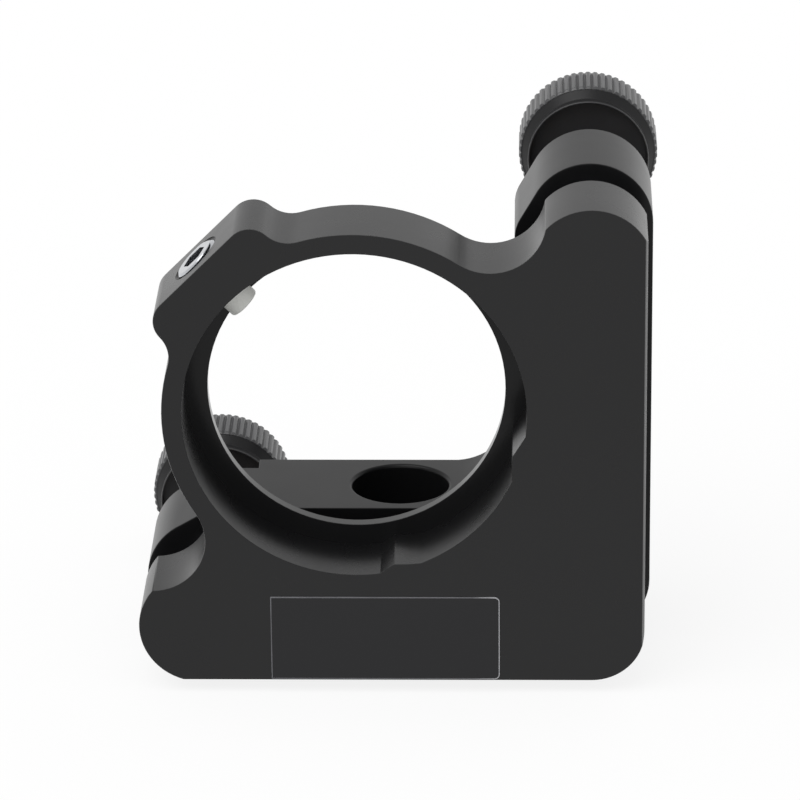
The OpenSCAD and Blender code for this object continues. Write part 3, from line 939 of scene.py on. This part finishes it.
class MIRROR_MOUNT_OT_stage(MountOperator):
    """Set the camera, the floor and the lights"""

    bl_idname = "mirror_mount.stage"
    bl_label = "Stage"

    def execute(self, context):
        return self.finish(context)

    def build(self, settings):
        stage = settings.stage
        scene = bpy.context.scene
        scene.view_settings.view_transform = "Standard"
        self.place_camera(scene, stage)
        self.light_room(scene, stage)
        self.lay_floor(stage)

    def place_camera(self, scene, stage):
        data = bpy.data.cameras.new("camera")
        camera = bpy.data.objects.new("camera", data)
        scene.collection.objects.link(camera)
        data.lens = stage.lens
        data.sensor_width = 36.0
        data.clip_start, data.clip_end = 0.01, 10.0
        a, e = stage.azimuth, stage.elevation
        back = Vector((math.sin(a) * math.cos(e), -math.cos(a) * math.cos(e), math.sin(e)))
        camera.location = Vector(stage.aim) + back * stage.distance
        camera.rotation_mode = "QUATERNION"
        turn = (-back).to_track_quat("-Z", "Y")
        camera.rotation_quaternion = turn @ Quaternion((0, 0, 1), stage.roll)
        scene.camera = camera

    def light_room(self, scene, stage):
        world = bpy.data.worlds.new("light_tent")
        world.use_nodes = True
        tree = world.node_tree
        tree.nodes.clear()
        # The tent is a little greyer overhead than at its sides.
        way = add_node(tree, "ShaderNodeTexCoord").outputs["Generated"]
        height = add_node(tree, "ShaderNodeSeparateXYZ", Vector=way).outputs["Z"]
        tent = add_node(
            tree,
            "ShaderNodeMapRange",
            {
                "From Min": 0.35,
                "From Max": 1.0,
                "To Min": stage.side_level,
                "To Max": stage.overhead_level,
            },
            Value=height,
        )
        # Surfaces mirror the tent, are lit by the room's level, and are seen against pure white.
        mirrored = any_ray(tree, "Is Glossy Ray", "Is Transmission Ray")
        inside = add_node(
            tree, "ShaderNodeMix", {2: stage.room_level}, i0=mirrored, i3=tent.outputs[0]
        )
        seen = add_node(
            tree,
            "ShaderNodeMix",
            {3: 1.0},
            i0=any_ray(tree, "Is Camera Ray"),
            i2=inside.outputs[0],
        )
        tent_wall = add_node(
            tree, "ShaderNodeBackground", {"Color": (1.0, 1.0, 1.0, 1.0)}, Strength=seen.outputs[0]
        )
        add_node(tree, "ShaderNodeOutputWorld", Surface=tent_wall.outputs[0])
        scene.world = world
        bpy.ops.object.light_add(type="SUN", location=(-0.1, -0.1, 0.3))
        key = bpy.context.object
        key.name = "key_light"
        # A broad soft box over the viewer's left shoulder.
        direction = Vector((0.35, 0.45, -1.0))
        key.rotation_mode = "QUATERNION"
        key.rotation_quaternion = direction.to_track_quat("-Z", "Y")
        key.data.angle = math.radians(50)
        # A level white surface gets this share of white, though the light comes in aslant.
        key.data.energy = stage.key_level * math.pi * direction.length

    def lay_floor(self, stage):
        low, _ = CAD_BOX
        # It lies just under the mount, so that no face of the mount coincides with it.
        gap = 0.02 * MM
        bpy.ops.mesh.primitive_plane_add(size=8.0, location=(0, 0, low.z - gap))
        floor = bpy.context.object
        floor.name = "floor"
        bpy.ops.object.transform_apply(location=True, rotation=True, scale=True)
        material = bpy.data.materials.new("white_paper")
        material.use_nodes = True
        tree = material.node_tree
        tree.nodes.clear()
        # A low albedo keeps the shadow pale, and the glow brings open paper up to pure white.
        albedo = 0.15
        paper = add_node(tree, "ShaderNodeBsdfDiffuse", {"Color": (albedo, albedo, albedo, 1.0)})
        level = stage.room_level + stage.key_level
        glow = add_node(tree, "ShaderNodeEmission", {"Strength": 1.0 - albedo * level})
        both = add_node(tree, "ShaderNodeAddShader", i0=paper.outputs[0], i1=glow.outputs[0])
        seen = any_ray(tree, "Is Camera Ray", "Is Glossy Ray", "Is Transmission Ray")
        either = add_node(
            tree, "ShaderNodeMixShader", i0=seen, i1=paper.outputs[0], i2=both.outputs[0]
        )
        add_node(tree, "ShaderNodeOutputMaterial", Surface=either.outputs[0])
        floor.data.materials.append(material)


class MIRROR_MOUNT_PT_panel(bpy.types.Panel):
    """Lists the pieces of the mirror mount"""

    bl_idname = "MIRROR_MOUNT_PT_panel"
    bl_label = "Mirror mount"
    bl_space_type = "VIEW_3D"
    bl_region_type = "UI"
    bl_category = "Mirror mount"

    def draw(self, context):
        for piece in PIECES:
            self.layout.operator(piece.bl_idname)


PIECES = (
    MIRROR_MOUNT_OT_plates,
    MIRROR_MOUNT_OT_label,
    MIRROR_MOUNT_OT_knobs,
    MIRROR_MOUNT_OT_steel_parts,
    MIRROR_MOUNT_OT_screws,
    MIRROR_MOUNT_OT_bushings,
    MIRROR_MOUNT_OT_springs,
    MIRROR_MOUNT_OT_nylon_tip,
    MIRROR_MOUNT_OT_stage,
)
CLASSES = (MountSizes, MountColours, MountStage, MountSettings, *PIECES, MIRROR_MOUNT_PT_panel)


def register():
    for cls in CLASSES:
        bpy.utils.register_class(cls)
    bpy.types.Scene.mirror_mount = PointerProperty(type=MountSettings)


def unregister():
    del bpy.types.Scene.mirror_mount
    for cls in reversed(CLASSES):
        bpy.utils.unregister_class(cls)


def main():
    """Builds every piece and the stage."""
    register()
    deselect()
    for piece in PIECES:
        group, action = piece.bl_idname.split(".")
        getattr(getattr(bpy.ops, group), action)()


if __name__ == "__main__":
    main()
